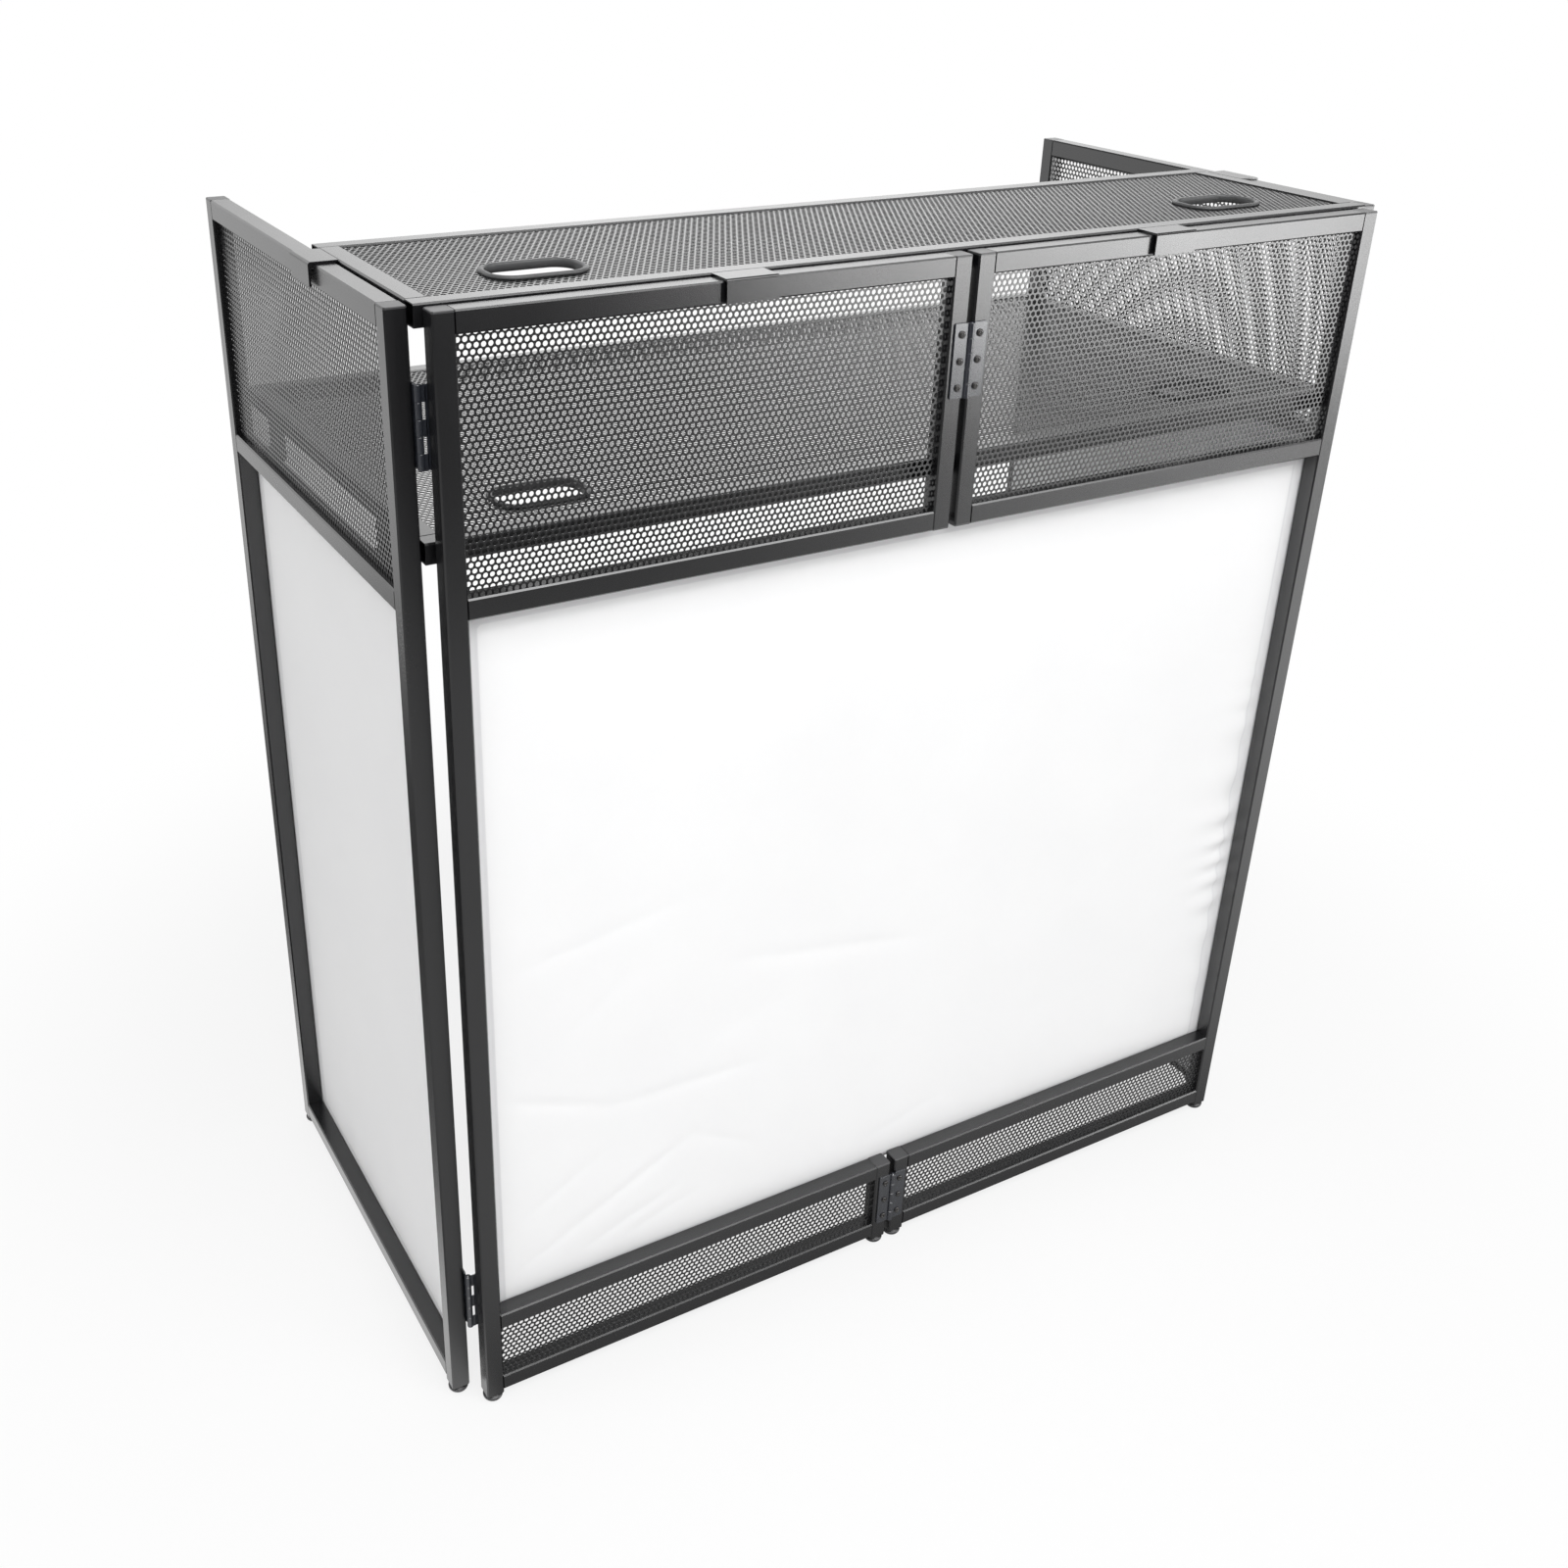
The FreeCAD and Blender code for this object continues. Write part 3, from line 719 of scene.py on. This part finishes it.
def stretched(name, node, axis, inward, step, tucked, folds):
    """Sheet over its opening: a grid with a thicker hem, and the folds as its depth. The depth fades to
    nothing at the edges, where the cloth lies on the tube. Part of the lower hem is tucked away below.
    The UV map is in metres, and so is the distance to the hem's outer edge, which the finish reads."""
    low, high = np.array(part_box(node))
    depth_axis = 1 - axis
    size = (high - low)[[axis, 2]]
    count = np.round(size / step).astype(int) + 1
    lines = [np.linspace(0, length, steps) for length, steps in zip(size, count)]
    across, upward = np.meshgrid(*lines, indexing="ij")
    sides = np.minimum(across, size[0] - across)
    edge = np.minimum(sides, np.minimum(upward, size[1] - upward))
    free = np.clip((edge - SCRIM_LAP) / SCRIM_RISE, 0, 1)
    from_hem = np.minimum(sides, np.minimum(upward + tucked, size[1] - upward))
    hem = 1 - np.clip((from_hem - HEM_WIDTH) / HEM_FADE, 0, 1)
    depth = SCRIM_CLOTH + HEM_STEP * hem + free * folds(across, upward)
    face = low[depth_axis] if inward > 0 else high[depth_axis]
    grid = np.empty((*across.shape, 3))
    grid[..., axis] = low[axis] + across
    grid[..., 2] = low[2] + upward
    grid[..., depth_axis] = face + inward * depth
    index = np.arange(across.size).reshape(across.shape)
    corners = [index[:-1, :-1], index[1:, :-1], index[1:, 1:], index[:-1, 1:]]
    loops = np.stack(corners, axis=-1).reshape(-1, 4)
    if (axis == 0) == (inward < 0):
        loops = loops[:, ::-1]
    points = grid.reshape(-1, 3)
    cloth = new_piece(name, points, loops.tolist(), scrim_knit, "scrim_fabric", smooth=True)
    spread = np.stack([across, upward], axis=-1).reshape(-1, 2)[loops.ravel()]
    cloth.data.uv_layers.new(name="cloth").data.foreach_set("uv", spread.ravel())
    edges = cloth.data.attributes.new("edge", "FLOAT", "POINT")
    edges.data.foreach_set("value", from_hem.ravel())
    wall = cloth.modifiers.new("cloth", "SOLIDIFY")
    wall.thickness = SCRIM_CLOTH
    wall.offset = 0.0
    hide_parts(node)
    return cloth, size


front_creases = [
    ((0.02, 0.03), (0.27, 0.15), 0.006, 0.0013),
    ((0.24, 0.15), (0.34, 0.09), 0.005, 0.0008),
    ((0.03, 0.27), (0.15, 0.22), 0.006, 0.0014),
    ((0.13, 0.22), (0.36, 0.21), 0.007, 0.0011),
    ((0.28, 0.36), (0.55, 0.31), 0.009, 0.0012),
    ((0.02, 0.42), (0.28, 0.46), 0.008, 0.0008),
    ((0.03, 0.10), (0.16, 0.17), 0.006, 0.0010),
    ((0.10, 0.03), (0.24, 0.08), 0.005, 0.0010),
    ((0.16, 0.03), (0.26, 0.06), 0.005, 0.0009),
    ((0.07, 0.31), (0.20, 0.40), 0.007, 0.0007),
    ((0.46, 0.03), (0.62, 0.07), 0.007, 0.0007),
    ((0.25, 0.26), (0.40, 0.30), 0.008, 0.0006),
]


def front_folds(across, upward):
    """A slight slack towards the rear, the creases, and short ripples along the right edge."""
    width, height = FRONT_SIZE
    slack = SLACK["front"] * np.sin(np.pi * across / width) * np.sin(np.pi * upward / height)
    ridges = sum(crease(across, upward, *row) for row in front_creases)
    beside = np.exp(-(width - across) / RIPPLE["reach"])
    stretch = np.exp(-((upward - RIPPLE["middle"]) / RIPPLE["spread"]) ** 2)
    phase = upward * 2 * np.pi / RIPPLE["length"] + 3 * np.sin(upward * 23)
    ripple = RIPPLE["depth"] * beside * stretch * (1 + np.sin(phase))
    return slack + ridges + ripple


def wing_folds(across, upward):
    """A slight slack, and a few short pleats that rise from the lower hem."""
    width, height = WING_SIZE
    slack = SLACK["wing"] * np.sin(np.pi * across / width) * np.sin(np.pi * upward / height)
    near = np.exp(-upward / PLEAT["reach"])
    phase = across * 2 * np.pi / PLEAT["length"] + 0.8 * np.sin(across * 17)
    pleats = PLEAT["depth"] * near * (1 + np.sin(phase))
    return slack + pleats


front_cloth, size = stretched(
    "front_scrim_cloth", "front_scrim", 0, 1, FRONT_STEP, FRONT_TUCK, front_folds
)
low, high = np.array(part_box("front_scrim"))
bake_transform(front_cloth)
front_frame = ["front_left_mid_rail", "front_right_mid_rail", "front_left_lower_rail"]
front_frame += ["front_right_lower_rail", "front_left_outer_post", "front_right_outer_post"]
for wing, inward in (("left_wing", 1), ("right_wing", -1)):
    name = wing + "_scrim_cloth"
    cloth, size = stretched(name, wing + "_scrim", 1, inward, WING_STEP, WING_TUCK, wing_folds)
    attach(cloth, wing)


# Floor, light and camera: a white studio sweep under soft lights, seen from the booth's front left
# corner and a little above it. Floor and background look white to the camera, and have the shades of
# a dim studio where the black tubes mirror them.

floor_mesh = bpy.data.meshes.new("floor")
floor_mesh.from_pydata([(-4, -2.4, 0), (4, -2.4, 0), (4, 4, 0), (-4, 4, 0)], [], [(0, 1, 2, 3)])
floor = bpy.data.objects.new("floor", floor_mesh)
bpy.context.scene.collection.objects.link(floor)
white_floor, shade = new_finish("white_floor")
seen = shade.node("LightPath", {}, {}, out=0)
glossy = shade.node("LightPath", {}, {}, out=3)
place = shade.node("TexCoord", {}, {}, out=3)
away = shade.node("VectorMath", {"operation": "LENGTH"}, {0: place}, out=1)
wide = shade.node("SeparateXYZ", {}, {0: place}, out=0)
deep = shade.node("SeparateXYZ", {}, {0: place}, out=1)
to_front = (wide + 0.35 * deep).ramp(0.1, 1.6, 0.52, 1.65)
beside_wing = wide.ramp(-0.71, -0.58) * (1 - wide.ramp(-0.55, -0.50))
to_rear = deep.ramp(0.9, 2.6, 0.10, 1.05) + 1.15 * beside_wing
behind = deep.ramp(-0.5, -0.1)
mirrored = (1 - behind) * to_front + behind * to_rear
matt = shade.node("BsdfDiffuse", {}, {"Color": (0.74, 0.74, 0.74, 1.0)})
lit = shade.node("Emission", {}, {"Color": (1.0, 1.0, 1.0, 1.0), "Strength": 1.0})
sheen = shade.node("Emission", {}, {"Color": mirrored, "Strength": 1.0})
fade = away.ramp(0.7, 1.5, 0.80, 1.0) * seen
surface = shade.node("MixShader", {}, {0: fade, 1: matt, 2: lit})
surface = shade.node("MixShader", {}, {0: glossy, 1: surface, 2: sheen})
shade.node("OutputMaterial", {}, {"Surface": surface})
floor_mesh.materials.append(white_floor)

world = bpy.data.worlds.new("studio")
bpy.context.scene.world = world
world.use_nodes = True
world.node_tree.nodes.clear()
sky = Shade(world.node_tree)
seen = sky.node("LightPath", {}, {}, out=0)
glossy = sky.node("LightPath", {}, {}, out=3)
way = sky.node("TexCoord", {}, {}, out=0)
sideways = sky.node("SeparateXYZ", {}, {0: way}, out=0)
behind = sky.node("SeparateXYZ", {}, {0: way}, out=1)
height = sky.node("SeparateXYZ", {}, {0: way}, out=2)
rear = behind.ramp(-0.1, 0.45)
to_zenith = height.ramp(0.29, 0.40, 1.0, 0.5) * height.ramp(0.45, 0.75, 1.0, 0.1)
high = height.ramp(0.10, 0.24, 1.1, 2.8) * to_zenith
to_sides = sideways.ramp(0.20, 0.42, 0.55, 1.0) * sideways.ramp(0.5, 0.9, 1.0, 0.4)
softbox = height.ramp(0.60, 0.72) * (1 - behind.ramp(-0.35, -0.15))
above = 0.08 + high * rear * to_sides + 6.0 * softbox
below = 0.06 + 1.0 * rear + 0.6 * sideways.ramp(0.6, 0.95)
horizon = height.ramp(-0.02, 0.08)
gleam = horizon * above + (1 - horizon) * below
level = seen + (1 - seen) * (glossy * gleam + (1 - glossy) * 0.55)
white = sky.node("Background", {}, {"Color": (1.0, 1.0, 1.0, 1.0), "Strength": level})
sky.node("OutputWorld", {}, {"Surface": white})


def soft_light(name, place, aim, size, watts, reflected):
    """Rectangular area lamp at a place, turned to face the aim. It either lights matt surfaces or is a
    card that glossy ones reflect."""
    lamp = bpy.data.lights.new(name, "AREA")
    lamp.shape = "RECTANGLE"
    lamp.size = size[0]
    lamp.size_y = size[1]
    lamp.energy = watts
    light = bpy.data.objects.new(name, lamp)
    light.location = place
    light.rotation_mode = "QUATERNION"
    light.rotation_quaternion = (Vector(aim) - Vector(place)).to_track_quat("-Z", "Y")
    light.visible_glossy = reflected
    light.visible_diffuse = not reflected
    bpy.context.scene.collection.objects.link(light)


soft_light("overhead", (0.2, -2.2, 3.2), (0.1, 0.0, 0.5), (3.2, 2.4), 88, False)
soft_light("key", (-2.2, -2.5, 3.5), (0.0, -0.2, 0.6), (0.5, 0.5), 30, False)
soft_light("left_side", (-3.2, 0.6, 2.6), (-0.5, 0.1, 0.7), (1.8, 1.8), 22, False)
soft_light("front_card", (2.35, -2.9, 1.1), (0.0, 0.0, 1.0), (1.6, 1.7), 56, True)
soft_light("right_card", (3.7, -2.6, 1.0), (0.0, 0.0, 1.0), (1.6, 1.8), 28, True)

camera_data = bpy.data.cameras.new("camera")
camera_data.sensor_width = 36.0
camera_data.lens = 38.716
camera_data.shift_x = 0.05684
camera_data.shift_y = -0.04520
camera = bpy.data.objects.new("camera", camera_data)
camera.location = (-0.99683, -1.51647, 1.51620)
aim = Vector((-0.12977, 0.0, 0.63424))
roll = Quaternion((0, 0, 1), np.radians(1.18))
camera.rotation_mode = "QUATERNION"
camera.rotation_quaternion = (aim - camera.location).to_track_quat("-Z", "Y") @ roll
bpy.context.scene.collection.objects.link(camera)
bpy.context.scene.camera = camera
bpy.context.scene.view_settings.view_transform = "Standard"
